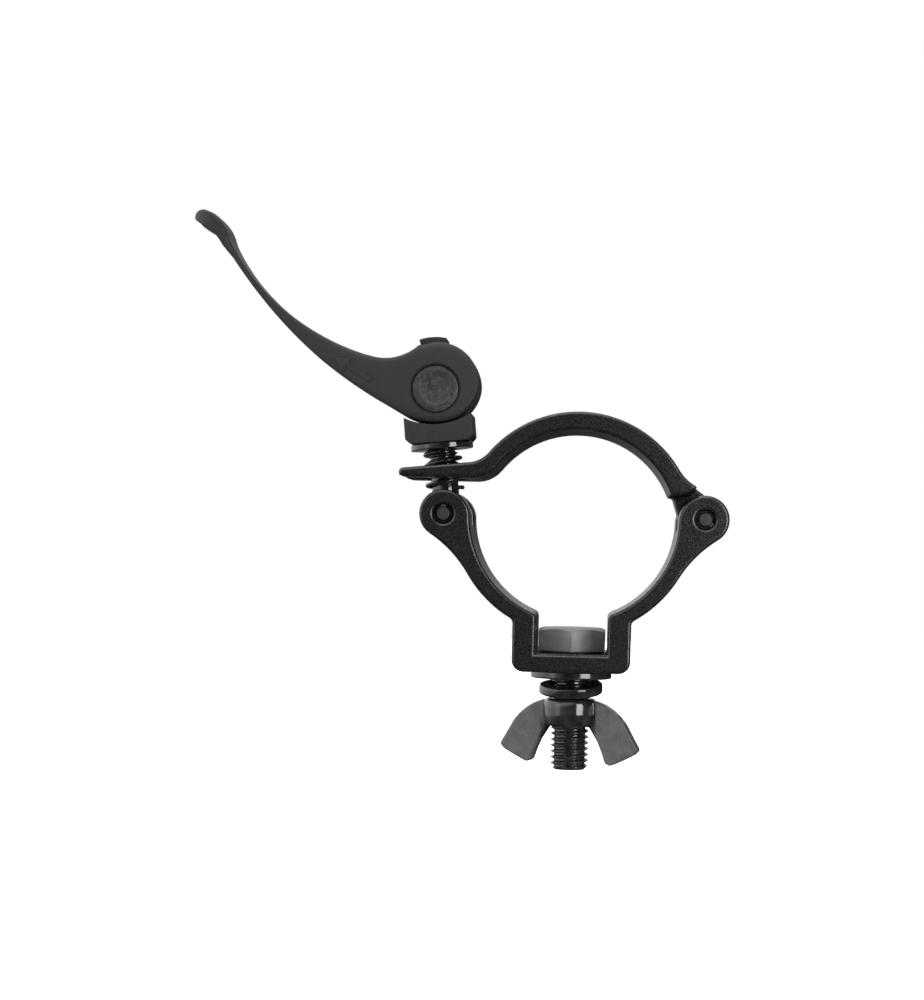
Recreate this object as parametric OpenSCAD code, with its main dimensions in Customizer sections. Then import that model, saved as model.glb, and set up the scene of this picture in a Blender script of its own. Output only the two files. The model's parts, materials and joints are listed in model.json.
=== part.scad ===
// Quick-release pipe clamp for stage and theatre rigging: a hinged ring for 48 to 51 mm tubes, closed by
// a swing bolt with a cam lever. An M10 bolt with a wing nut holds the lamp or fitting under it.
// Origin: centre of the tube seat, midway between the hinge pins. +Y runs along the tube, and +Z points
// away from the mounting bolt.

/* [Tube seat] */
// Inner radius of the yoke's arms
seat_r = 26.2; // [25.8:0.1:26.4]
// Width of the clamp along the tube
band_w = 30; // [26:1:34]

/* [Yoke] */
// Distance of each hinge pin from the middle
pin_x = 32.85; // [32.6:0.05:33.2]
// Radius of the ears round the hinge pins
ear_r = 6.05; // [5.8:0.05:6.3]
// Width of the slots between the ears
ear_gap = 10.6; // [10.4:0.1:11]
// Half the inner width of the channel for the bolt head
channel_in = 9.05; // [8.8:0.05:9.4]
// Half the outer width of the channel
channel_out = 14.9; // [14:0.1:15.5]
// Height of the channel's floor
floor_z = -34.6; // [-35.5:0.1:-34]
// Thickness of the channel's floor
floor_t = 4.6; // [4:0.1:5.2]

/* [Jaw] */
// Inner radius of the jaw's arc
jaw_r = 25.5; // [25.4:0.1:25.8]
// Width of the jaw's hinge lug
lug_w = 10; // [9.6:0.1:10.2]
// Width of the slot in the tongue
tongue_gap = 10.6; // [10.4:0.1:11]

/* [Swing bolt] */
// Distance from the hinge pin to the cam lever's pivot
bolt_reach = 31.8; // [31.4:0.1:32.2]
// Lean of the bolt away from the ring, in degrees
bolt_lean = 5.8; // [5:0.1:6]
// Radius of the bolt's thread
swing_thread_r = 4; // [3.9:0.05:4]
// Radius of the bolt's plain shank
swing_shank_r = 3.6; // [3.4:0.05:3.7]
// Radius of the hinge pins
pin_r = 2.5; // [2.4:0.05:2.55]

/* [Cam lever] */
// Width of the lever's hub
hub_w = 18; // [17:1:20]
// Radius of the hub's round cam
cam_r = 10.25; // [10:0.05:10.3]
// Width of the slot in the hub
hub_gap = 9.4; // [9:0.1:10]
// Radius of the barrel nut
barrel_r = 6; // [5.8:0.1:6.2]
// Width of the lever's arm at its middle
arm_w = 12.5; // [11:0.5:14]
// Width of the finger paddle
paddle_w = 16; // [14:1:18]

/* [Mounting bolt] */
// Radius of the M10 bolt
bolt_r = 4.9; // [4.85:0.05:5]
// Length of the bolt under its head
bolt_len = 30; // [28:1:34]
// Width across the flats of the bolt's head
head_af = 17; // [16:0.5:17]
// Height of the bolt's head
head_h = 6.4; // [6:0.1:6.8]
// Turn of the wing nut about the bolt, in degrees
wing_yaw = -20; // [-40:5:40]

/* [Hidden] */
fine = 72;
running = 0.06; // radial clearance of every turning fit
fit = 0.02; // gap between fixed faces that only touch

// Yoke outline
arm_c = [0, 0.9]; // centre of the arms' outer arc
arm_r = 30.9; // radius of the arms' outer arc
arm_fillet = 30; // hollow between an arm and its ear
mouth_r = 1.6; // rounding where the seat runs into the channel
foot_r = 3; // rounding of the channel's bottom edges
waist_r = 1.5; // hollow where an arm meets the channel
slot_r = 7.2; // clearance cut round each hinge pin
bolt_hole_r = 5.25;

// Jaw outline
jaw_c = [0.4, -3.57]; // centre of the jaw's inner arc
back_c = [0.95, -3.11]; // centre of the jaw's outer arc
back_r = 29.45; // radius of the jaw's outer arc
tongue_low = 9.05; // height of the tongue's underside

// Head, in heights along the swing bolt from its hinge pin
eye_r = 6;
eye_w = 10;
washer_z = 16.7; // underside of the thrust washer
washer_t = 1.6;
washer_r = 8;
saddle_z = 18.32; // underside of the saddle
saddle_top = 25.4; // top corners of the saddle
saddle_w = 17.2;
saddle_d = 17.2;
saddle_seat_r = 17.5;
saddle_gap = 0.42; // play between the cam and the saddle
cam_c = [0.6, 1.75]; // centre of the cam, from the lever's pivot
bolt_top = 38.6;
spring_r = 4.5; // to the middle of the wire
wire_r = 0.5;
spring_turns = 3.75;
web_r = 13.2; // outside of the web between the cheeks
pivot = [-pin_x - bolt_reach * sin(bolt_lean), bolt_reach * cos(bolt_lean)];
seat_line = bolt_reach + cam_c[1] * cos(bolt_lean) - cam_c[0] * sin(bolt_lean) - cam_r - saddle_gap;

// Stack on the mounting bolt
foot_z = floor_z - floor_t;
flat_t = 2;
flat_r = 10.35;
lock_sq = 2.6;
lock_r = 8.15;
lock_tilt = 8.5;
lock_h = 5.15;
nut_z = foot_z - flat_t - lock_h;
nut_h = 7.2;
nut_r = 6.5;
wing_t = 3;

// Points along an arc from angle a to angle b
function arc(c, r, a, b, n = 12) =
    [for (i = [0:n]) c + r * [cos(a + (b - a) * i / n), sin(a + (b - a) * i / n)]];

// Points along an arc of radius r from p to q. A positive r bows to the right of the way from p to q.
function bow(p, q, r, n = 8) =
    let (d = q - p, half = norm(d) / 2, side = sign(r), rad = abs(r),
        rise = sqrt(rad * rad - half * half),
        right = [d[1], -d[0]] / norm(d),
        c = (p + q) / 2 - side * rise * right,
        a = atan2(p[1] - c[1], p[0] - c[0]),
        sweep = 2 * asin(half / rad) * side)
    [for (i = [0:n]) c + rad * [cos(a + sweep * i / n), sin(a + sweep * i / n)]];

// Where circles of radii ra round a and rb round b cross, on the left of the way from a to b
function crossing(a, ra, b, rb) =
    let (d = norm(b - a), u = (b - a) / d, along = (d * d + ra * ra - rb * rb) / (2 * d),
        up = sqrt(ra * ra - along * along))
    a + along * u + up * [-u[1], u[0]];

function heading(from, to) = atan2(to[1] - from[1], to[0] - from[0]);

function mirrored(points) = [for (i = [len(points) - 1:-1:0]) [-points[i][0], points[i][1]]];

// A flat outline in X and Z, made w thick and centred on Y = 0
module plate(w) {
    rotate([90, 0, 0])
        translate([0, 0, -w / 2])
            linear_extrude(w) children();
}

// A round bar along Y
module cross_bar(x, z, r, w) {
    translate([x, 0, z])
        rotate([90, 0, 0])
            cylinder(h = w, r = r, center = true, $fn = fine);
}

// Moves to the swing bolt's own frame: origin on its hinge pin, +Z along the bolt
module on_swing_bolt() {
    translate([-pin_x, 0, 0])
        rotate([0, -bolt_lean, 0]) children();
}

// Moves to the cam lever's pivot, with the axes of the whole clamp
module on_pivot() {
    translate([pivot[0], 0, pivot[1]]) children();
}

// Right half of the yoke's outline, from the middle of the foot round to the middle of the channel floor
function yoke_half() =
    let (ear = [pin_x, 0],
        hollow = crossing(ear, ear_r + arm_fillet, arm_c, arm_r + arm_fillet),
        waist_x = channel_out + waist_r,
        waist = [waist_x, arm_c[1] - sqrt(pow(arm_r + waist_r, 2) - pow(waist_x - arm_c[0], 2))],
        mouth_x = channel_in + mouth_r,
        mouth = [mouth_x, -sqrt(pow(seat_r + mouth_r, 2) - mouth_x * mouth_x)],
        shoulder = [seat_r, 0.2],
        brow = [pin_x - 1.4, ear_r - 0.15])
    concat(
        [[0, foot_z]],
        arc([channel_out - foot_r, foot_z + foot_r], foot_r, -90, 0, 6),
        arc(waist, waist_r, 180, heading(waist, arm_c), 4),
        arc(arm_c, arm_r, heading(arm_c, waist), heading(arm_c, hollow), 10),
        arc(hollow, arm_fillet, heading(hollow, arm_c), heading(hollow, ear), 8),
        arc(ear, ear_r, heading(ear, hollow), 100, 14),
        bow(brow, shoulder, 6.9, 5),
        arc([0, 0], seat_r, -1, heading([0, 0], mouth), 16),
        arc(mouth, mouth_r, heading(mouth, [0, 0]), 180, 5),
        [[channel_in, floor_z], [0, floor_z]]);

module yoke() {
    color([0.03, 0.03, 0.03])
    difference() {
        plate(band_w) polygon(concat(yoke_half(), mirrored(yoke_half())));
        for (side = [-1, 1]) {
            cross_bar(side * pin_x, 0, pin_r, band_w + 1);
            cross_bar(side * pin_x, 0, slot_r, ear_gap);
            translate([side * (pin_x + 2) - 9, -ear_gap / 2, 0])
                cube([18, ear_gap, 10]);
            translate([side * (pin_x + 5) - 5, -ear_gap / 2, -5])
                cube([10, ear_gap, 10]);
        }
        translate([0, 0, foot_z - 1])
            cylinder(h = floor_t + 2, r = bolt_hole_r, $fn = fine);
    }
}

// A hinge pin along Y, with a groove round its core at each end. The groove is open at slot_angle.
module slotted_pin(x, slot_angle) {
    core_r = 1.7;
    groove = 0.8;
    slot_w = 1.3;
    length = 28.6;
    color([0.12, 0.12, 0.12])
    translate([x, 0, 0]) {
        rotate([90, 0, 0]) {
            cylinder(h = length - 2 * groove, r = pin_r, center = true, $fn = fine);
            cylinder(h = length, r = core_r, center = true, $fn = fine);
        }
        for (end = [-1, 1])
            translate([0, end * ((length - groove) / 2 - fit), 0])
                rotate([0, slot_angle, 0])
                    translate([0, 0, pin_r / 2])
                        cube([slot_w, groove, pin_r - 0.2], center = true);
    }
}

module jaw_pin() {
    slotted_pin(pin_x, 132);
}

module swing_pin() {
    slotted_pin(-pin_x, 0);
}

// The jaw's full-width band and its tongue
function jaw_band() =
    let (tail = back_c + back_r * [cos(30.5), sin(30.5)],
        neck = [pin_x - 2, 8],
        shoulder = [pin_x - 4.6, 6.4],
        start = asin((5.7 - jaw_c[1]) / jaw_r),
        crown = back_c + back_r * [cos(139), sin(139)],
        under = jaw_c + jaw_r * [cos(142), sin(142)])
    concat(
        bow(neck, tail, -12, 4),
        arc(back_c, back_r, 33, 136, 26),
        bow(crown, [-26, 13.05], -7.8, 6),
        bow([-43.4, 11.25], [-43.5, tongue_low], 1.15, 6),
        bow([-25.6, tongue_low + 0.05], under, 8.2, 5),
        arc(jaw_c, jaw_r, 139, start, 30),
        [shoulder]);

// The thin lug that carries the jaw on its hinge pin
function jaw_lug() =
    let (ear = [pin_x, 0],
        tail = back_c + back_r * [cos(30.5), sin(30.5)])
    concat(
        arc(ear, ear_r, -170, 84, 20),
        bow([pin_x - 2, 8], tail, -12, 4),
        arc(jaw_c, jaw_r + 0.6, 32, 21, 4));

module upper_jaw() {
    slot_end = -33;
    color([0.03, 0.03, 0.03])
    difference() {
        union() {
            plate(band_w) polygon(jaw_band());
            plate(lug_w) polygon(jaw_lug());
        }
        cross_bar(pin_x, 0, pin_r + running, band_w + 1);
        translate([slot_end, 0, 0])
            cylinder(h = 20, r = tongue_gap / 2, $fn = fine);
        translate([slot_end - 20, -tongue_gap / 2, 0])
            cube([20, tongue_gap, 20]);
    }
}

module swing_bolt() {
    thread_from = 15.2;
    color([0.05, 0.05, 0.05])
    on_swing_bolt()
        difference() {
            union() {
                intersection() {
                    cross_bar(0, 0, eye_r, eye_w);
                    sphere(r = 7.2, $fn = fine);
                }
                cylinder(h = thread_from, r = swing_shank_r, $fn = fine);
                translate([0, 0, thread_from])
                    cylinder(h = bolt_top - thread_from, r = swing_thread_r, $fn = fine);
            }
            cross_bar(0, 0, pin_r + running, eye_w + 1);
        }
}

// Middle of the spring's wire, t from 0 at the eye to 1 at the washer
function coil_point(t, low, high) =
    [spring_r * cos(360 * spring_turns * t), spring_r * sin(360 * spring_turns * t), low + (high - low) * t];

module return_spring() {
    sides = 8;
    steps = 60;
    low = eye_r + wire_r + 0.1;
    high = washer_z - wire_r - 0.05;
    ring = [for (i = [0:steps], k = [0:sides - 1])
        let (t = i / steps, p = coil_point(t, low, high), a = 360 * spring_turns * t, b = 360 * k / sides)
        p + wire_r * [cos(b) * cos(a), cos(b) * sin(a), sin(b)]];
    walls = [for (i = [0:steps - 1], k = [0:sides - 1])
        let (n = (k + 1) % sides, here = i * sides, next = here + sides)
        [here + k, here + n, next + n, next + k]];
    ends = [[for (k = [sides - 1:-1:0]) k], [for (k = [0:sides - 1]) steps * sides + k]];
    color([0.06, 0.06, 0.06])
    on_swing_bolt()
        polyhedron(points = ring, faces = concat(walls, ends), convexity = 8);
}

module thrust_washer() {
    color([0.05, 0.05, 0.05])
    on_swing_bolt()
        translate([0, 0, washer_z])
            difference() {
                cylinder(h = washer_t, r = washer_r, $fn = fine);
                translate([0, 0, -1])
                    cylinder(h = washer_t + 2, r = swing_thread_r + 0.2, $fn = fine);
            }
}

module cam_saddle() {
    bevel = 1.2;
    half = saddle_w / 2;
    color([0.09, 0.09, 0.09])
    on_swing_bolt()
        difference() {
            plate(saddle_d)
                polygon([[-half, saddle_z + bevel], [-half + bevel, saddle_z], [half - bevel, saddle_z],
                    [half, saddle_z + bevel], [half, saddle_top], [-half, saddle_top]]);
            cross_bar(0, seat_line + saddle_seat_r, saddle_seat_r, saddle_d + 1);
            cylinder(h = saddle_top + 1, r = swing_thread_r + 0.3, $fn = fine);
        }
}

module barrel_nut() {
    length = hub_w - 1;
    color([0.11, 0.11, 0.11])
    on_swing_bolt()
        difference() {
            cross_bar(0, bolt_reach, barrel_r, length);
            cylinder(h = bolt_top + 10, r = swing_thread_r + running, $fn = fine);
        }
}

// The lever seen from the side, with its pivot at the origin
function lever_side() =
    let (flat_left = [-8, -6.7], cam_low = cam_c + cam_r * [cos(-90), sin(-90)])
    concat(
        bow(flat_left, cam_low, 17, 5),
        arc(cam_c, cam_r, -84, 112, 26),
        bow([-4.5, 11.2], [-16.4, 8], -13, 7),
        bow([-18.5, 8.5], [-53.3, 36.6], -56, 12),
        bow([-53.9, 38.2], [-57.9, 43.2], 9, 5),
        arc([-61.2, 42.8], 1.2, 85, 215, 6),
        [[-60, 41.3]],
        bow([-58.2, 40.3], [-54.6, 36], -12, 4),
        bow([-52.4, 32.4], [-14.5, -3], 112, 12));

// Half of the lever seen from above, from the hub to the paddle's tip
function lever_half_plan() =
    let (tip = -62.6)
    concat(
        [[14, hub_w / 2], [-9, hub_w / 2]],
        bow([-11, hub_w / 2 - 0.2], [-34, arm_w / 2], 80, 5),
        [[-44, arm_w / 2 - 0.3]],
        bow([-47, arm_w / 2], [-54, paddle_w / 2 - 0.1], 30, 4),
        bow([-56, paddle_w / 2], [tip, paddle_w / 2 - 5], 7, 4));

module cam_lever() {
    plan = lever_half_plan();
    slot_in = 9.3; // how deep the slot reaches into the hub all round
    color([0.1, 0.1, 0.1])
    on_pivot()
        difference() {
            union() {
                intersection() {
                    plate(2 * hub_w) polygon(lever_side());
                    translate([0, 0, -20])
                        linear_extrude(80)
                            polygon(concat(plan, [for (i = [len(plan) - 1:-1:0]) [plan[i][0], -plan[i][1]]]));
                }
                plate(hub_gap + 2) polygon(concat(arc([0, 0], web_r, 80, 110, 6), [[-3.5, 9], [1.5, 9]]));
            }
            cross_bar(0, 0, barrel_r + running, 2 * hub_w);
            cross_bar(0, 0, slot_in, hub_gap);
            plate(hub_gap) polygon(concat([[0, 0]], arc([0, 0], 30, -112, 71, 12)));
        }
}

module hex_bolt() {
    bevel_r = head_af / 2 + 0.9;
    color([0.05, 0.05, 0.05])
    translate([0, 0, floor_z]) {
        intersection() {
            rotate([0, 0, 30])
                cylinder(h = head_h, r = head_af / 2 / cos(30), $fn = 6);
            union() {
                cylinder(h = head_h - 1, r = bevel_r, $fn = fine);
                translate([0, 0, head_h - 1])
                    cylinder(h = 1, r1 = bevel_r, r2 = head_af / 2 - 0.6, $fn = fine);
            }
        }
        translate([0, 0, -bolt_len])
            cylinder(h = bolt_len, r = bolt_r, $fn = fine);
    }
}

module flat_washer() {
    color([0.05, 0.05, 0.05])
    translate([0, 0, foot_z - flat_t])
        difference() {
            cylinder(h = flat_t - fit, r = flat_r, $fn = fine);
            translate([0, 0, -1])
                cylinder(h = flat_t + 2, r = bolt_r + 0.25, $fn = fine);
        }
}

// A split spring washer, unloaded, so that it leans: low in front and high at the back
module lock_washer() {
    gap = 12;
    color([0.05, 0.05, 0.05])
    translate([0, 0, foot_z - flat_t - lock_h / 2])
        rotate([lock_tilt, 0, 0])
            rotate([0, 0, 90 + gap / 2])
                rotate_extrude(angle = 360 - gap, $fn = fine)
                    translate([lock_r - lock_sq, -lock_sq / 2])
                        square([lock_sq, lock_sq]);
}

// One wing, drawn to the right of the bolt with its heights below the top of the nut
function wing() =
    concat(
        [[4, -0.2], [7.7, -0.4], [9.9, -1.5]],
        bow([11.4, -2.5], [14.8, -5.6], -8, 3),
        [[18.9, -12.6], [17.6, -13.8], [11.2, -17], [9.9, -16]],
        bow([8.9, -13.2], [5.5, -7.1], 16, 3),
        [[4, -6.8]]);

module wing_nut() {
    color([0.06, 0.06, 0.06])
    translate([0, 0, nut_z])
        rotate([0, 0, wing_yaw])
            difference() {
                union() {
                    translate([0, 0, -nut_h])
                        cylinder(h = nut_h, r = nut_r, $fn = fine);
                    for (turn = [0, 180])
                        rotate([0, 0, turn])
                            plate(wing_t) polygon(wing());
                }
                translate([0, 0, -nut_h - 1])
                    cylinder(h = nut_h + 2, r = bolt_r + running, $fn = fine);
            }
}

yoke();
jaw_pin();
swing_pin();
upper_jaw();
swing_bolt();
return_spring();
thrust_washer();
cam_saddle();
barrel_nut();
cam_lever();
hex_bolt();
flat_washer();
lock_washer();
wing_nut();
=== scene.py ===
# The looks of the quick-release pipe clamp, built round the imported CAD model.
# Lengths in the shape code are in millimetres, and MM turns them into metres.
# The floor, the lamps and the camera are in metres.
import json
import math

import bmesh
import bpy
import numpy as np
from mathutils import Matrix, Vector
from mathutils.bvhtree import BVHTree

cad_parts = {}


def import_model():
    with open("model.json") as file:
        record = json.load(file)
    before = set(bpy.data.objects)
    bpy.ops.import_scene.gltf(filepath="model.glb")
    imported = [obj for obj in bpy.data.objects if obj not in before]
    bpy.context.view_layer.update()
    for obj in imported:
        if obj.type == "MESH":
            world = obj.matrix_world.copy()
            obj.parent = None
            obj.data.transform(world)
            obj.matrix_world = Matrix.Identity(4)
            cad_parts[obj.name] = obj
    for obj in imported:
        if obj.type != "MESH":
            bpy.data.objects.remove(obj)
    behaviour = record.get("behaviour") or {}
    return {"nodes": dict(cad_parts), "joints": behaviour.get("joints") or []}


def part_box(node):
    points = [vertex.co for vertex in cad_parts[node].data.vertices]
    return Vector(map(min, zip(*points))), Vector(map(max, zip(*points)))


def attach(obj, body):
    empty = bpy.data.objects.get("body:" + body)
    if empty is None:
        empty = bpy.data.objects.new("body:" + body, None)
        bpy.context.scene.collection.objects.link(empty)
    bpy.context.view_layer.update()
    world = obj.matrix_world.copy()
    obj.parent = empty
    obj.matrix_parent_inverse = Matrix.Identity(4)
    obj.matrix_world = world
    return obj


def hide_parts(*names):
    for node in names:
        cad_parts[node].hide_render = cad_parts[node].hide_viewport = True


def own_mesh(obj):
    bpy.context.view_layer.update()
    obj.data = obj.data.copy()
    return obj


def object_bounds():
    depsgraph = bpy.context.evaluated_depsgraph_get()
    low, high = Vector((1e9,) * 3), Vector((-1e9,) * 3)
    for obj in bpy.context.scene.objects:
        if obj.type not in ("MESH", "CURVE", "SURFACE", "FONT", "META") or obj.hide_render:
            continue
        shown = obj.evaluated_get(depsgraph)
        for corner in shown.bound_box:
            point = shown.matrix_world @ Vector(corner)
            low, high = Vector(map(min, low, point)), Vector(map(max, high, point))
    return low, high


MM = 0.001
SIDES = 96  # points round a turned part

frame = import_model()
cad_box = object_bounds()
nodes = frame["nodes"]
scene = bpy.context.scene

# Places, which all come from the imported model
JOINTS = {j["name"]: j for j in frame["joints"]}
BOLT_AXIS = Vector(JOINTS["head_turn"]["axis"]).normalized()
PIVOT = Vector(JOINTS["lever_turn"]["pos_m"])
SWING_PIN = Vector(JOINTS["bolt_swing"]["pos_m"])
BOLT_TOP = (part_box("swing_bolt")[1] - SWING_PIN).z / BOLT_AXIS.z / MM
STUD_LOW, STUD_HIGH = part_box("hex_bolt")[0].z / MM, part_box("hex_bolt")[1].z / MM
NUT_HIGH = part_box("wing_nut")[1].z / MM
FOOT_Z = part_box("yoke")[0].z / MM


# ---------------------------------------------------------------- materials


class Nodes:
    """A material's node tree, with short calls to add and join nodes."""

    def __init__(self, name):
        self.material = bpy.data.materials.new(name)
        self.material.use_nodes = True
        self.tree = self.material.node_tree
        self.shader = self.tree.nodes["Principled BSDF"]
        coordinates = self.add("ShaderNodeTexCoord")
        self.place = coordinates.outputs["Object"]

    def add(self, kind, **values):
        made = self.tree.nodes.new(kind)
        for key, value in values.items():
            setattr(made, key, value)
        return made

    def join(self, out, into):
        self.tree.links.new(out, into)

    def noise(self, size_mm, detail=3.0, rough=0.5, place=None):
        """Noise with features about size_mm across."""
        made = self.add("ShaderNodeTexNoise")
        made.inputs["Scale"].default_value = 1 / (size_mm * MM)
        made.inputs["Detail"].default_value = detail
        made.inputs["Roughness"].default_value = rough
        self.join(place or self.place, made.inputs["Vector"])
        return made.outputs["Fac"]

    def spots(self, size_mm):
        """Distance from the middle of the nearest of many grains about size_mm apart."""
        made = self.add("ShaderNodeTexVoronoi")
        made.inputs["Scale"].default_value = 1 / (size_mm * MM)
        self.join(self.place, made.inputs["Vector"])
        return made.outputs["Distance"]

    def ramp(self, source, low, high, at=(0.3, 0.7)):
        """A colour or grey that goes from low to high as source goes from at[0] to at[1]."""
        made = self.add("ShaderNodeValToRGB")
        for stop, where, value in zip(made.color_ramp.elements, at, (low, high)):
            stop.position = where
            stop.color = (*value, 1) if isinstance(value, tuple) else (value, value, value, 1)
        self.join(source, made.inputs["Fac"])
        return made.outputs["Color"]

    def step(self, source, low_mm, high_mm):
        """0 where source is low_mm and 1 where it is high_mm."""
        made = self.add("ShaderNodeMapRange")
        made.inputs["From Min"].default_value = low_mm * MM
        made.inputs["From Max"].default_value = high_mm * MM
        self.join(source, made.inputs["Value"])
        return made.outputs["Result"]

    def times(self, a, b):
        made = self.add("ShaderNodeMath", operation="MULTIPLY")
        self.join(a, made.inputs[0])
        self.join(b, made.inputs[1])
        return made.outputs[0]

    def sum(self, a, b, share=0.5):
        """a plus share of b."""
        made = self.add("ShaderNodeMath", operation="MULTIPLY_ADD")
        self.join(b, made.inputs[0])
        made.inputs[1].default_value = share
        self.join(a, made.inputs[2])
        return made.outputs[0]

    def blend(self, share, a, b):
        """a where share is 0 and b where it is 1."""
        made = self.add("ShaderNodeMix", data_type="RGBA")
        self.join(share, made.inputs[0])
        self.join(a, made.inputs[6])
        self.join(b, made.inputs[7])
        return made.outputs[2]

    def bump(self, height, depth_mm, strength=1.0, under=None):
        made = self.add("ShaderNodeBump")
        made.inputs["Strength"].default_value = strength
        made.inputs["Distance"].default_value = depth_mm * MM
        self.join(height, made.inputs["Height"])
        if under is not None:
            self.join(under, made.inputs["Normal"])
        return made.outputs["Normal"]

    def set(self, **values):
        for name, value in values.items():
            socket = self.shader.inputs[name.replace("_", " ")]
            if isinstance(value, bpy.types.NodeSocket):
                self.join(value, socket)
            else:
                socket.default_value = value
        return self.material


def coated_steel():
    """Black coating over blasted steel: satin, with a fine sparkling grain."""
    m = Nodes("coated_steel")
    grain = m.sum(m.noise(0.5, 4, 0.65), m.spots(0.55), 0.5)
    broad = m.noise(9, 3)
    normal = m.bump(broad, 0.25, 0.25)
    return m.set(
        Base_Color=m.ramp(grain, (0.001, 0.001, 0.0012), (0.008, 0.008, 0.0085), (0.35, 0.95)),
        Roughness=m.ramp(m.sum(grain, broad, 0.4), 0.15, 0.3, (0.45, 1.0)),
        Specular_IOR_Level=0.5,
        Normal=m.bump(grain, 0.05, 0.85, normal),
    )


def cast_black():
    """Matte black coating over a casting."""
    m = Nodes("cast_black")
    grain = m.sum(m.noise(0.28, 4, 0.6), m.noise(1.3, 3), 0.7)
    broad = m.noise(7, 3)
    normal = m.bump(broad, 0.25, 0.25)
    tone = m.sum(grain, broad, 0.6)
    return m.set(
        Base_Color=m.ramp(tone, (0.006, 0.006, 0.0063), (0.015, 0.015, 0.0155), (0.6, 1.0)),
        Roughness=m.ramp(grain, 0.45, 0.6, (0.4, 1.0)),
        Specular_IOR_Level=0.3,
        Normal=m.bump(grain, 0.012, 0.4, normal),
    )


def dull_and_painted_lit_faces(m):
    """How dull a face is, and how much painted light its colour gets: 1 on the bolt's head, 0.4 on the nut's
    wings, and 0 elsewhere.
    """
    head_reach, boss_reach, wing_share = 12.0, 7.3, 0.4
    parts = m.add("ShaderNodeSeparateXYZ")
    m.join(m.place, parts.inputs[0])
    flat = m.add("ShaderNodeVectorMath", operation="MULTIPLY")
    flat.inputs[1].default_value = (1, 1, 0)
    m.join(m.place, flat.inputs[0])
    reach = m.add("ShaderNodeVectorMath", operation="LENGTH")
    m.join(flat.outputs[0], reach.inputs[0])
    near = m.step(reach.outputs["Value"], head_reach + 0.5, head_reach)
    head = m.times(m.step(parts.outputs["Z"], FOOT_Z + 3, FOOT_Z + 3.4), near)
    outside = m.step(reach.outputs["Value"], boss_reach, boss_reach + 0.7)
    wings = m.times(m.step(parts.outputs["Z"], NUT_HIGH + 0.2, NUT_HIGH), outside)
    return m.sum(head, wings, wing_share)


def black_zinc():
    """Glossy black plating, slightly wavy, and duller on the bolt's head and the wings, which also get a
    lighter colour there as painted light.
    """
    m = Nodes("black_zinc")
    wavy = m.noise(2.4, 2)
    fine = m.noise(0.22, 3)
    dull_and_painted_lit = dull_and_painted_lit_faces(m)
    normal = m.bump(wavy, 0.1, 0.3)
    glossy_colour = m.ramp(wavy, (0.005, 0.005, 0.0053), (0.016, 0.016, 0.0165))
    # Painted light: a lighter grey on the bolt's head and the nut's wings stands in for the light they catch
    painted_lit_colour = m.ramp(m.sum(wavy, fine, 0.4), (0.08, 0.08, 0.082), (0.13, 0.13, 0.133), (0.4, 1.0))
    gloss = m.ramp(m.sum(wavy, fine, 0.5), 0.07, 0.18, (0.45, 1.0))
    return m.set(
        Base_Color=m.blend(dull_and_painted_lit, glossy_colour, painted_lit_colour),
        Roughness=m.blend(dull_and_painted_lit, gloss, m.ramp(fine, 0.42, 0.55)),
        Specular_IOR_Level=0.7,
        Normal=m.bump(fine, 0.01, 0.3, normal),
    )


def barrel_black():
    """Matte black over a turned face: faint rings round the lever's pivot, and a mottled middle."""
    m = Nodes("barrel_black")
    shift = m.add("ShaderNodeMapping")
    shift.inputs["Location"].default_value = -PIVOT
    m.join(m.place, shift.inputs["Vector"])
    rings = m.add("ShaderNodeTexWave", wave_type="RINGS", rings_direction="Y")
    rings.inputs["Scale"].default_value = 0.35 / MM
    rings.inputs["Distortion"].default_value = 6
    rings.inputs["Detail"].default_value = 3
    m.join(shift.outputs["Vector"], rings.inputs["Vector"])
    mottle = m.noise(1.1, 4, 0.6)
    normal = m.bump(rings.outputs["Fac"], 0.012, 0.25)
    tone = m.sum(mottle, rings.outputs["Fac"], 0.12)
    return m.set(
        Base_Color=m.ramp(tone, (0.009, 0.009, 0.0095), (0.03, 0.03, 0.031), (0.4, 0.85)),
        Roughness=m.ramp(mottle, 0.42, 0.62),
        Normal=m.bump(mottle, 0.04, 0.5, normal),
    )


def pin_steel():
    """Dark rolled steel, with fine marks along the pin."""
    m = Nodes("pin_steel")
    stretch = m.add("ShaderNodeMapping")
    stretch.inputs["Scale"].default_value = (1, 0.08, 1)
    m.join(m.place, stretch.inputs["Vector"])
    marks = m.noise(0.16, 4, 0.6, stretch.outputs["Vector"])
    return m.set(
        Base_Color=m.ramp(marks, (0.001, 0.001, 0.0011), (0.005, 0.005, 0.0053)),
        Roughness=m.ramp(marks, 0.4, 0.6),
        Specular_IOR_Level=0.2,
        Normal=m.bump(marks, 0.012, 0.4),
    )


def spring_steel():
    """Black drawn wire."""
    m = Nodes("spring_steel")
    marks = m.noise(0.3, 3)
    return m.set(
        Base_Color=m.ramp(marks, (0.004, 0.004, 0.0045), (0.014, 0.014, 0.0145)),
        Roughness=m.ramp(marks, 0.16, 0.3),
        Specular_IOR_Level=0.6,
        Normal=m.bump(marks, 0.01, 0.3),
    )


MATERIALS = {
    make.__name__: make()
    for make in (coated_steel, cast_black, black_zinc, barrel_black, pin_steel, spring_steel)
}


# ---------------------------------------------------------------- mesh tools


def paint(obj, slot):
    obj.data.materials.clear()
    obj.data.materials.append(MATERIALS[slot])


def smooth(mesh, angle=35):
    """Smooth shading, with edges sharper than angle left sharp."""
    mesh.polygons.foreach_set("use_smooth", [True] * len(mesh.polygons))
    mesh.set_sharp_from_angle(angle=math.radians(angle))


def new_object(name, mesh):
    obj = bpy.data.objects.new(name, mesh)
    scene.collection.objects.link(obj)
    return obj


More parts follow.
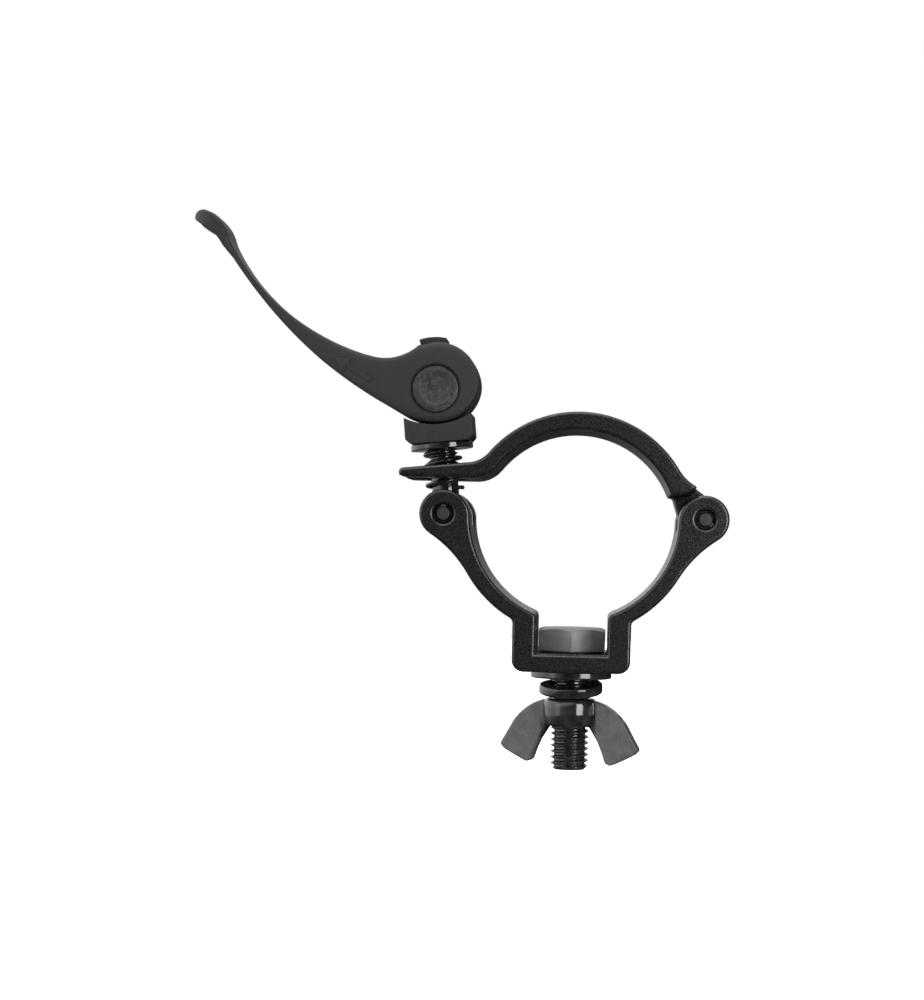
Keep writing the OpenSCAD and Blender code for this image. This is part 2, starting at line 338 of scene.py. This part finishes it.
def solid(name, points_mm, faces):
    """An object from points in millimetres, with its faces turned outwards."""
    mesh = bpy.data.meshes.new(name)
    mesh.from_pydata([Vector(p) * MM for p in points_mm], [], faces)
    shape = bmesh.new()
    shape.from_mesh(mesh)
    bmesh.ops.recalc_face_normals(shape, faces=shape.faces)
    shape.to_mesh(mesh)
    shape.free()
    return new_object(name, mesh)


def bake_modifiers(obj):
    """Applies the object's modifiers to its own mesh."""
    seen = obj.evaluated_get(bpy.context.evaluated_depsgraph_get())
    mesh = bpy.data.meshes.new_from_object(seen)
    obj.modifiers.clear()
    obj.data = mesh
    return obj


def modifier(obj, kind, **values):
    made = obj.modifiers.new(kind.lower(), kind)
    for key, value in values.items():
        setattr(made, key, value)
    return made


def cut(obj, *tools, operation="DIFFERENCE"):
    """Cuts the tools out of obj, or joins them to it, and removes them."""
    for tool in tools:
        modifier(obj, "BOOLEAN", operation=operation, solver="EXACT", object=tool)
    bpy.context.view_layer.update()
    bake_modifiers(obj)
    for tool in tools:
        bpy.data.objects.remove(tool)
    return obj


def soften(obj, voxel_mm, rounds, factor=0.5):
    """Turns obj into one even skin and rounds off its edges, as casting does."""
    modifier(obj, "REMESH", mode="VOXEL", voxel_size=voxel_mm * MM, use_smooth_shade=True)
    modifier(obj, "SMOOTH", factor=factor, iterations=rounds)
    return bake_modifiers(obj)


def smooth_faces(angle=35):
    """A modifier's node group that shades faces smooth, with edges sharper than angle left sharp."""
    group = bpy.data.node_groups.new("smooth_faces", "GeometryNodeTree")
    for way in ("INPUT", "OUTPUT"):
        group.interface.new_socket("Geometry", in_out=way, socket_type="NodeSocketGeometry")
    add, join = group.nodes.new, group.links.new
    start, end = add("NodeGroupInput"), add("NodeGroupOutput")
    bend, sharp = add("GeometryNodeInputMeshEdgeAngle"), add("FunctionNodeCompare")
    sharp.operation = "GREATER_THAN"
    sharp.inputs[1].default_value = math.radians(angle)
    faces, edges = add("GeometryNodeSetShadeSmooth"), add("GeometryNodeSetShadeSmooth")
    faces.domain, edges.domain = "FACE", "EDGE"
    edges.inputs["Shade Smooth"].default_value = False
    join(start.outputs[0], faces.inputs["Geometry"])
    join(faces.outputs[0], edges.inputs["Geometry"])
    join(bend.outputs["Unsigned Angle"], sharp.inputs[0])
    join(sharp.outputs[0], edges.inputs["Selection"])
    join(edges.outputs[0], end.inputs[0])
    return group


SMOOTH_FACES = smooth_faces()


def round_edges(obj, radius_mm, segments=3, angle=30):
    """Merges a CAD mesh's flat faces and rounds its edges, all with modifiers."""
    modifier(obj, "WELD", merge_threshold=0.0005 * MM)
    modifier(obj, "DECIMATE", decimate_type="DISSOLVE", angle_limit=math.radians(0.4))
    modifier(
        obj, "BEVEL", width=radius_mm * MM, segments=segments, limit_method="ANGLE",
        angle_limit=math.radians(angle), use_clamp_overlap=False,
    )
    modifier(obj, "NODES", node_group=SMOOTH_FACES)
    modifier(obj, "WEIGHTED_NORMAL", keep_sharp=True)
    return obj


EVEN = 2 * np.pi * np.arange(SIDES) / SIDES


def turned(name, rings, angles=EVEN):
    """A closed solid of rings up the Z axis. A ring is (heights, radii), each one number or one per angle."""
    points = []
    for height, radius in rings:
        radius = np.broadcast_to(radius, len(angles))
        height = np.broadcast_to(height, len(angles))
        points += list(zip(radius * np.cos(angles), radius * np.sin(angles), height))
    return solid(name, points, grid_faces(len(rings), len(angles), closed=False))


def ring_of_section(name, section):
    """A solid round Z that doesn't reach its axis. section is a closed list of (radius, height)."""
    points = [(r * math.cos(a), r * math.sin(a), z) for a in EVEN for r, z in section]
    return solid(name, points, grid_faces(SIDES, len(section), closed=True))


def grid_faces(rows, columns, closed):
    """Faces of a grid that wraps round across its columns, and along its rows too if closed."""
    faces = []
    for i in range(rows if closed else rows - 1):
        for k in range(columns):
            a, b = i * columns, (i + 1) % rows * columns
            faces.append((a + k, a + (k + 1) % columns, b + (k + 1) % columns, b + k))
    if not closed:
        faces.append(tuple(range(columns))[::-1])
        faces.append(tuple(range((rows - 1) * columns, rows * columns)))
    return faces


def extruded(name, outline, low, high):
    """A plate of an outline in X and Z, from low to high along Y."""
    n = len(outline)
    points = [(x, low, z) for x, z in outline] + [(x, high, z) for x, z in outline]
    faces = [tuple(range(n)), tuple(range(n, 2 * n))[::-1]]
    faces += [(k, (k + 1) % n, n + (k + 1) % n, n + k) for k in range(n)]
    return solid(name, points, faces)


def bow(start, end, radius, steps=12):
    """Points along an arc from start to end. A positive radius bows to the right of the way."""
    p, q = np.array(start, float), np.array(end, float)
    way = q - p
    half = np.linalg.norm(way) / 2
    right = np.array([way[1], -way[0]]) / (2 * half)
    centre = (p + q) / 2 - math.copysign(math.sqrt(radius**2 - half**2), radius) * right
    first = math.atan2(*(p - centre)[::-1])
    sweep = math.copysign(2 * math.asin(half / abs(radius)), radius)
    angles = first + sweep * np.linspace(0, 1, steps + 1)
    return [tuple(centre + abs(radius) * np.array([math.cos(a), math.sin(a)])) for a in angles]


def evenly(points, count):
    """count points at even steps along a line of points."""
    line = np.array(points, float)
    gone = np.concatenate([[0], np.cumsum(np.linalg.norm(np.diff(line, axis=0), axis=1))])
    at = np.linspace(0, gone[-1], count)
    return np.stack([np.interp(at, gone, line[:, k]) for k in (0, 1)], axis=1)


def along_y(obj):
    """Turns a piece made round the Z axis onto the Y axis."""
    obj.data.transform(Matrix.Rotation(math.radians(90), 4, "X"))
    return obj


def thread_rings(pitch, crest, root, low, high, taper_low=0.0, taper_high=0.0, steps=14, angles=EVEN):
    """Rings of a right-handed 60 degree thread from low to high, tapered at its ends."""
    rings = []
    count = int(round((high - low) / pitch * steps))
    for i in range(count + 1):
        z = low + (high - low) * i / count
        phase = (z / pitch - angles / (2 * np.pi)) % 1.0
        rise = np.clip((np.abs(phase - 0.5) - 0.0625) / 0.31, 0, 1)  # 0 on the crest and 1 in the root
        radius = crest - (crest - root) * rise
        for end, taper in ((z - low, taper_low), (high - z, taper_high)):
            if end < taper:
                radius = np.minimum(radius, root - 0.15 + (crest - root + 0.15) * end / taper)
        rings.append((z, radius))
    return rings


def place_on_bolt(obj):
    """Moves a piece made round the Z axis from the hinge pin onto the leaning swing bolt."""
    turn = Vector((0, 0, 1)).rotation_difference(BOLT_AXIS).to_matrix().to_4x4()
    obj.data.transform(Matrix.Translation(SWING_PIN) @ turn)
    return obj


def finished(obj, body, slot, *replaced, angle=35):
    smooth(obj.data, angle)
    paint(obj, slot)
    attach(obj, body)
    if replaced:
        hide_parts(*replaced)
    return obj


# ---------------------------------------------------------------- yoke, jaw and other CAD parts

for node, slot, radius in (
    ("yoke", "coated_steel", 0.85),
    ("upper_jaw", "coated_steel", 0.85),
    ("jaw_pin", "pin_steel", 0.22),
    ("swing_pin", "pin_steel", 0.22),
    ("thrust_washer", "black_zinc", 0.3),
    ("cam_saddle", "cast_black", 0.25),
    ("flat_washer", "black_zinc", 0.4),
):
    paint(nodes[node], slot)
    round_edges(nodes[node], radius)


# ---------------------------------------------------------------- hinge pins


def coated_core(node, slot_angle):
    """The coated core of a hinge pin and the bridge from it to the ear, at both ends of the pin."""
    low, high = (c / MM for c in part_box(node))
    core_r, bridge, bridge_end = 1.62, 0.6, 2.35
    proud, depth = 0.05, 0.5
    outline = [(core_r * math.cos(a), core_r * math.sin(a)) for a in np.radians(np.linspace(115, 425, 40))]
    outline += [(bridge, bridge_end), (-bridge, bridge_end)]
    for place, end, inward in (("front", low.y, 1), ("back", high.y, -1)):
        cap = extruded(f"{node}_core_{place}", outline, end - proud * inward, end + depth * inward)
        cap.data.transform(Matrix.Rotation(math.radians(slot_angle), 4, "Y"))
        cap.data.transform(Matrix.Translation(Vector(((low.x + high.x) / 2, 0, 0)) * MM))
        modifier(
            cap, "BEVEL", width=0.15 * MM, segments=3, limit_method="ANGLE", angle_limit=math.radians(50),
        )
        finished(bake_modifiers(cap), "yoke", "cast_black", angle=50)


coated_core("swing_pin", 0)
coated_core("jaw_pin", 132)


# ---------------------------------------------------------------- mounting bolt

STUD_PITCH = 1.5
STUD_CREST, STUD_ROOT, SHANK_R = 4.87, 4.0, 4.85
HEAD_AF = 17.0
HEAD_H = 6.4

# Angles round the bolt, closer together at the hexagon's corners
CORNER_STEPS = (-1.1, -0.4, 0.4, 1.1, 3, 6, *range(10, 52, 4), 54, 57)
HEX_ANGLES = np.radians([30 + 60 * k + step for k in range(6) for step in CORNER_STEPS])


def hexagon(flats, sharpness=500):
    """Radius round a hexagon with slightly rounded corners, a corner on the -Y side."""
    normals = np.radians(60.0) * np.arange(6)
    reach = np.maximum(np.cos(HEX_ANGLES[:, None] - normals[None, :]), 0)
    largest = reach.max(axis=1)
    blend = ((reach / largest[:, None]) ** sharpness).sum(axis=1) ** (1 / sharpness)
    return flats / 2 / (largest * blend)


def hex_bolt():
    """Stud and chamfered head in one piece, with the thread cut up to the foot."""
    floor_z = STUD_HIGH - HEAD_H
    side = hexagon(HEAD_AF)
    land = HEAD_AF / 2 - 0.45  # radius of the flat top inside the chamfer
    chamfer = HEAD_H - 0.1 - np.maximum(side - land, 0) * math.tan(math.radians(26))
    rings = [(STUD_LOW, 3.1)]
    thread_end = FOOT_Z + 0.5
    rings += thread_rings(
        STUD_PITCH, STUD_CREST, STUD_ROOT, STUD_LOW, thread_end, taper_low=1.1, angles=HEX_ANGLES
    )
    rings += [
        (FOOT_Z + 0.8, SHANK_R),
        (floor_z, SHANK_R),
        (floor_z, 7.7),
        (floor_z + 0.25, 8.0),
        (floor_z + 0.3, np.minimum(side - 0.25, 9.3)),
        (floor_z + 0.55, side),
        (floor_z + chamfer - 0.12, side),
        (floor_z + chamfer + 0.03, side - 0.14),
        (STUD_HIGH - 0.1, np.minimum(side, land) - 0.25),
        (STUD_HIGH, np.minimum(side, land) - 0.6),
        (STUD_HIGH, 2.0),
    ]
    bolt = turned("mounting_bolt", rings, HEX_ANGLES)
    return finished(bolt, "yoke", "black_zinc", "hex_bolt", angle=18)


hex_bolt()


# ---------------------------------------------------------------- split washer


def lock_washer():
    """A split ring that leans, and rises from one end of its gap to the other."""
    low, high = (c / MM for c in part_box("lock_washer"))
    middle = (low.z + high.z) / 2
    outer, thick, lean, rise = 8.15, 2.6, 8.2, 0.35
    gap = 14
    corner = 0.6
    flat = thick / 2 - corner
    section = []
    for cx, cz, start in ((1, 1, 0), (-1, 1, 90), (-1, -1, 180), (1, -1, 270)):
        for a in np.radians(np.linspace(start, start + 90, 5)):
            section.append((cx * flat + corner * math.cos(a), cz * flat + corner * math.sin(a)))
    rows = 120
    points = []
    tilt = Matrix.Rotation(math.radians(lean), 3, "X")
    for i in range(rows):
        t = i / (rows - 1)
        a = math.radians(90 + gap / 2 + (360 - gap) * t)
        for r, z in section:
            radius = outer - thick / 2 + r
            p = tilt @ Vector((radius * math.cos(a), radius * math.sin(a), z + rise * (2 * t - 1)))
            points.append((p.x, p.y, p.z + middle))
    washer = solid("split_washer", points, grid_faces(rows, len(section), closed=False))
    return finished(washer, "washers", "black_zinc", "lock_washer")


lock_washer()


# ---------------------------------------------------------------- wing nut

WING_YAW = -20
WING_T = 3.1


def wing_outline():
    """One wing seen flat on: (distance from the bolt, height below the nut's top)."""
    upper = [(3.5, -0.5), (7.2, -0.5), (9.6, -1.4), (11.6, -2.6), (13.4, -4.1), (15.0, -5.9), (18.9, -12.5)]
    end = [(17.7, -13.8), (14.6, -15.4), (11.4, -16.9), (10.1, -16.2)]
    lower = [(9.2, -13.6), (8.0, -10.9), (6.4, -8.4), (5.6, -7.2), (3.5, -6.8)]
    return upper + end + lower


def wing_nut():
    """A turned boss and two wings, cast as one and bored through. Heights are from the nut's top."""
    low_edge = [(-7.2, 5.0), (-7.2, 5.6), (-6.6, 6.35), (-4.5, 7.0)]
    high_edge = [(-1.6, 7.0), (-0.5, 6.6), (0, 6.0), (0, 5.0)]
    boss = turned("wing_nut_piece", low_edge + high_edge)
    wings = []
    for side in (1, -1):
        outline = [(side * x, z) for x, z in wing_outline()]
        wings.append(extruded("wing", outline, -WING_T / 2, WING_T / 2))
    cut(boss, *wings, operation="UNION")
    soften(boss, 0.22, 18)
    bore = turned("bore", [(-9, 6.4), (-7.1, 5.3), (-6.6, 4.93), (-0.6, 4.93), (0.1, 5.4), (1, 6.4)])
    cut(boss, bore)
    yaw = Matrix.Rotation(math.radians(WING_YAW), 4, "Z")
    boss.data.transform(Matrix.Translation((0, 0, NUT_HIGH * MM)) @ yaw)
    return finished(boss, "nut", "black_zinc", "wing_nut", angle=50)


wing_nut()


# ---------------------------------------------------------------- swing bolt and its spring

EYE_R, EYE_W, EYE_CROWN, EYE_BORE = 6.0, 10.0, 7.2, 2.57
BOLT_PITCH, BOLT_CREST, BOLT_ROOT = 1.25, 3.93, 3.22
SPRING_TOP = 16.7  # height of the spring's upper end above the hinge pin


def swing_bolt():
    """Crowned eye and threaded shank in one piece."""
    section = [(EYE_BORE + 0.3, -EYE_W / 2)]
    for y in np.linspace(-EYE_W / 2, EYE_W / 2, 25):
        round_r = math.sqrt(EYE_CROWN**2 - y * y)
        section.append((min(EYE_R, round_r) - 0.02, y))
    section += [(EYE_BORE + 0.3, EYE_W / 2), (EYE_BORE, EYE_W / 2 - 0.3), (EYE_BORE, -EYE_W / 2 + 0.3)]
    eye = ring_of_section("swing_bolt_piece", section)
    along_y(eye)
    rings = [(4.2, 3.0), (4.2, 3.45), (9.0, 3.45), (9.4, 3.3)]
    rings += thread_rings(BOLT_PITCH, BOLT_CREST, BOLT_ROOT, 9.6, BOLT_TOP, taper_high=0.9)
    rings += [(BOLT_TOP, 2.4)]
    shank = turned("shank", rings)
    cut(eye, shank, operation="UNION")
    place_on_bolt(eye)
    return finished(eye, "swing_bolt", "black_zinc", "swing_bolt", angle=32)


def return_spring():
    """A coil round the swing bolt above its eye, which the saddle squashes as the lever closes."""
    coil_r, wire_r, turns = 4.5, 0.52, 3.75
    low = EYE_R + wire_r + 0.1
    high = SPRING_TOP - wire_r - 0.05
    rows, sides = 300, 16
    points = []
    for i in range(rows):
        t = i / (rows - 1)
        a = 2 * math.pi * turns * t
        eased = t - math.sin(4 * math.pi * t) / (4 * math.pi) * 0.35 * math.sin(math.pi * t) ** 0.5
        z = low + (high - low) * eased
        end = min(1.0, math.sqrt(min(t, 1 - t) / 0.004 + 0.05))
        for k in range(sides):
            b = 2 * math.pi * k / sides
            r = coil_r + wire_r * end * math.cos(b)
            points.append((r * math.cos(a), r * math.sin(a), z + wire_r * end * math.sin(b)))
    spring = solid("spring", points, grid_faces(rows, sides, closed=False))
    place_on_bolt(spring)
    finished(spring, "swing_bolt", "spring_steel", "return_spring", angle=50)
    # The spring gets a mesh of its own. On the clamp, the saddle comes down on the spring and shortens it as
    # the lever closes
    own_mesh(spring)


swing_bolt()
return_spring()


# ---------------------------------------------------------------- barrel nut and cam lever

BARREL_R = 6.0
BARREL_HOLE_R = 4.06


def barrel_nut():
    """A turned barrel along Y with dished ends, and the swing bolt's hole through it."""
    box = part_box("barrel_nut")
    half = (box[1].y - box[0].y) / 2 / MM
    face = [(half - 0.22, 0.4), (half - 0.2, 3.6), (half - 0.05, 4.0), (half, 4.3)]
    face += [(half, 5.3), (half - 0.2, 5.75), (half - 0.6, BARREL_R)]
    rings = [(-y, r) for y, r in face] + [(y, r) for y, r in reversed(face)]
    barrel = turned("barrel", rings)
    along_y(barrel)
    barrel.data.transform(Matrix.Translation(PIVOT))
    hole = turned("hole", [(10, BARREL_HOLE_R), (60, BARREL_HOLE_R)])
    place_on_bolt(hole)
    cut(barrel, hole)
    return finished(barrel, "head", "barrel_black", "barrel_nut", angle=30)


# The lever from the side, from its pivot, in two lines of points that keep close to the CAD's outline
CAM_C, CAM_R = (0.6, 1.75), 10.25
CAM_FAR = (CAM_C[0] + CAM_R, CAM_C[1])
CAM_TOP = (CAM_C[0] + CAM_R * math.cos(math.radians(112)), CAM_C[1] + CAM_R * math.sin(math.radians(112)))
CAM_LOW = (CAM_C[0], CAM_C[1] - CAM_R)
ARM_TOP = bow(CAM_FAR, CAM_TOP, CAM_R, 24) + bow((-4.5, 11.2), (-16.4, 8.0), -13)
ARM_TOP += bow((-18.5, 8.5), (-53.3, 36.6), -56, 24) + bow((-53.9, 38.2), (-57.9, 43.2), 9)
ARM_TOP += [(-60.2, 44.1), (-61.8, 43.9), (-62.7, 43.2)]
ARM_LOW = bow(CAM_FAR, CAM_LOW, -CAM_R, 24) + bow(CAM_LOW, (-8.0, -6.7), -17)
ARM_LOW += bow((-14.5, -3.0), (-52.4, 32.4), -112, 24)
ARM_LOW += bow((-55.0, 35.3), (-58.9, 39.5), 12) + [(-60.8, 40.6), (-62.2, 41.6), (-62.8, 42.5)]

# Width of the lever across the clamp, against the distance from its pivot
ARM_WIDTHS = (
    (-62.8, 7), (-62.2, 10), (-61.2, 12.6), (-59.6, 15.2), (-57.5, 16.4),
    (-55.5, 16.2), (-53.5, 14.8), (-50.5, 12.8), (-46.5, 12.0), (-40.0, 12.0),
    (-34.0, 12.5), (-26.0, 14.2), (-18.0, 16.6), (-11.0, 17.8), (0.0, 17.9),
)
CUP_FROM, CUP_FULL, CUP_DEPTH = -52.5, -56.5, 1.3
BOXY, ROUND = 0.2, 0.3  # how the section is shaped at the hub and along the arm


def lever_arm():
    """Hub, arm and cupped finger paddle, as one run of sections."""
    stations, sides = 150, 64
    top, low = evenly(ARM_TOP, stations), evenly(ARM_LOW, stations)
    at, widths = zip(*ARM_WIDTHS)
    points = []
    for t, b in zip(top[1:], low[1:]):
        middle, half = (t + b) / 2, (t - b) / 2
        thick = np.linalg.norm(half)
        up = half / thick
        across = float(np.interp(middle[0], at, widths)) / 2
        power = float(np.interp(middle[0], (-30.0, -10.0), (ROUND, BOXY)))
        fuller = float(np.interp(middle[0], (-30.0, -12.0), (0.4, 0.0)))
        cup = CUP_DEPTH * min(1.0, max(0.0, (CUP_FROM - middle[0]) / (CUP_FROM - CUP_FULL)))
        for k in range(sides):
            a = 2 * math.pi * (k + 0.5) / sides
            side = math.copysign(abs(math.cos(a)) ** power, math.cos(a))
            rise = math.copysign(abs(math.sin(a)) ** power, math.sin(a))
            hollow = cup * (1 - side * side) * (0.85 if rise < 0 else 0.1)
            p = middle + up * (rise * (thick + fuller) + hollow)
            points.append((p[0], side * across, p[1]))
    return solid("lever", points, grid_faces(stations - 1, sides, closed=False))


def fan(radius, first, last, count):
    """Points along an arc round the pivot, between two angles in degrees."""
    return [(radius * math.cos(a), radius * math.sin(a)) for a in np.radians(np.linspace(first, last, count))]


def cam_lever():
    """The lever with its web, its slot round the swing bolt, the barrel's hole and the raised arrow."""
    slot_half, web_half = 4.7, 5.8
    lever = lever_arm()
    web = extruded("web", fan(13.35, 80, 110, 12) + [(-3.5, 9), (1.5, 9)], -web_half, web_half)
    cut(lever, web, operation="UNION")
    slot = extruded("slot", [(0, 0)] + fan(30, -112, 71, 24), -slot_half, slot_half)
    round_slot = along_y(turned("round_slot", [(-slot_half, 9.3), (slot_half, 9.3)]))
    bore = [(8.3, 6.07), (8.9, 6.5), (10, 7.6)]  # (distance from the middle, radius), wider at the ends
    hole = along_y(turned("hole", [(-y, r) for y, r in reversed(bore)] + bore))
    cut(lever, slot, round_slot, hole)
    lever.data.transform(Matrix.Translation(PIVOT))
    skin = BVHTree.FromObject(lever, bpy.context.evaluated_depsgraph_get())
    arrow = raised_mark(skin, (-21.2, 4.6), 31)
    finished(lever, "lever", "cast_black", "cam_lever", angle=40)
    finished(arrow, "lever", "cast_black", angle=40)


def arrow_outline(length, width, head, shaft):
    """A plain arrow along +X, as (x, z)."""
    neck = length / 2 - head
    upper = [(-length / 2, shaft / 2), (neck, shaft / 2), (neck, width / 2)]
    return upper + [(length / 2, 0)] + [(x, -z) for x, z in reversed(upper)]


def raised_mark(skin, centre, turn):
    """A small raised arrow on the lever's front side, which follows the surface under it."""
    outline = arrow_outline(11.5, 4.0, 4.2, 1.3)
    proud, sunk, spacing = 0.22, 0.3, 0.6
    c, s = math.cos(math.radians(turn)), math.sin(math.radians(turn))
    shape = bmesh.new()
    top, base, dense = [], [], []
    for k, p in enumerate(outline):
        q = outline[(k + 1) % len(outline)]
        parts = max(1, int(math.dist(p, q) / spacing))
        dense += [(p[0] + (q[0] - p[0]) * i / parts, p[1] + (q[1] - p[1]) * i / parts) for i in range(parts)]
    for x, z in dense:
        px = PIVOT.x / MM + centre[0] - (x * c - z * s)
        pz = PIVOT.z / MM + centre[1] + (x * s + z * c)
        hit = skin.ray_cast(Vector((px * MM, -0.05, pz * MM)), Vector((0, 1, 0)))[0]
        y = hit.y / MM
        top.append(shape.verts.new(Vector((px, y - proud, pz)) * MM))
        base.append(shape.verts.new(Vector((px, y + sunk, pz)) * MM))
    n = len(top)
    shape.faces.new(top)
    shape.faces.new(base[::-1])
    for k in range(n):
        shape.faces.new((top[k], base[k], base[(k + 1) % n], top[(k + 1) % n]))
    bmesh.ops.recalc_face_normals(shape, faces=shape.faces)
    mesh = bpy.data.meshes.new("raised_arrow")
    shape.to_mesh(mesh)
    shape.free()
    mark = new_object("raised_arrow", mesh)
    modifier(mark, "BEVEL", width=0.12 * MM, segments=2, limit_method="ANGLE", angle_limit=math.radians(40))
    return bake_modifiers(mark)


barrel_nut()
cam_lever()


# ---------------------------------------------------------------- floor, light and camera

FLOOR_DROP = 0.03  # the lever's tip swings below the clamp's lowest point


def floor():
    """A plain white floor."""
    size = 1.6
    low = cad_box[0].z - FLOOR_DROP
    points = [(-size, -size, low), (size, -size, low), (size, size, low), (-size, size, low)]
    plane = solid("floor", [Vector(p) / MM for p in points], [(0, 1, 2, 3)])
    made = bpy.data.materials.new("floor_white")
    made.use_nodes = True
    shader = made.node_tree.nodes["Principled BSDF"]
    shader.inputs["Base Color"].default_value = (0.93, 0.93, 0.93, 1)
    shader.inputs["Roughness"].default_value = 0.9
    shader.inputs["Emission Color"].default_value = (1, 1, 1, 1)
    shader.inputs["Emission Strength"].default_value = 0.62
    plane.data.materials.append(made)
    plane.visible_glossy = False


def world():
    """White to the camera. The clamp is lit from above and from the left, and hardly from below."""
    made = bpy.data.worlds.new("studio")
    scene.world = made
    made.use_nodes = True
    tree = made.node_tree
    tree.nodes.clear()
    add = tree.nodes.new
    out = add("ShaderNodeOutputWorld")
    mix = add("ShaderNodeMixShader")
    seen, lit = add("ShaderNodeBackground"), add("ShaderNodeBackground")
    path, place = add("ShaderNodeLightPath"), add("ShaderNodeTexCoord")
    dot, level = add("ShaderNodeVectorMath"), add("ShaderNodeMapRange")
    seen.inputs["Color"].default_value = (1, 1, 1, 1)
    dot.operation = "DOT_PRODUCT"
    dot.inputs[1].default_value = (-0.55, 0.12, 0.83)
    level.interpolation_type = "SMOOTHSTEP"
    level.inputs["From Min"].default_value = -0.05
    level.inputs["From Max"].default_value = 0.7
    level.inputs["To Min"].default_value = 0.01
    level.inputs["To Max"].default_value = 2.2
    join = tree.links.new
    join(place.outputs["Generated"], dot.inputs[0])
    join(dot.outputs["Value"], level.inputs["Value"])
    join(level.outputs["Result"], lit.inputs["Strength"])
    join(path.outputs["Is Camera Ray"], mix.inputs["Fac"])
    join(lit.outputs[0], mix.inputs[1])
    join(seen.outputs[0], mix.inputs[2])
    join(mix.outputs[0], out.inputs["Surface"])


def lamp(name, place, aim, size, power):
    light = bpy.data.lights.new(name, "AREA")
    light.shape = "RECTANGLE"
    light.size, light.size_y = size
    light.energy = power
    obj = bpy.data.objects.new(name, light)
    scene.collection.objects.link(obj)
    obj.location = place
    obj.rotation_mode = "QUATERNION"
    obj.rotation_quaternion = (Vector(aim) - Vector(place)).to_track_quat("-Z", "Y")
    obj.visible_camera = False


CAMERA_ROLL = -1.4


def camera():
    """Near the photographed view: almost square on, a little right of the middle and below it."""
    data = bpy.data.cameras.new("camera")
    data.sensor_width = 36
    data.lens = 74.2
    data.shift_x, data.shift_y = -0.135, 0.06
    data.clip_start, data.clip_end = 0.02, 20
    cam = bpy.data.objects.new("camera", data)
    scene.collection.objects.link(cam)
    cam.location = (0.00592, -0.530, -0.01074)
    cam.rotation_euler = (math.radians(90), math.radians(CAMERA_ROLL), 0)
    scene.camera = cam


floor()
world()
MIDDLE = (-0.01, 0, 0.0)
lamp("right", (0.19, -0.22, 0.02), (0.03, 0, 0), (0.14, 0.2), 0.75)
lamp("left", (-0.72, -0.5, 0.1), MIDDLE, (0.3, 0.6), 0.5)
lamp("top", (-0.05, -0.42, 0.8), MIDDLE, (0.5, 0.25), 1.6)
camera()
scene.view_settings.view_transform = "Standard"
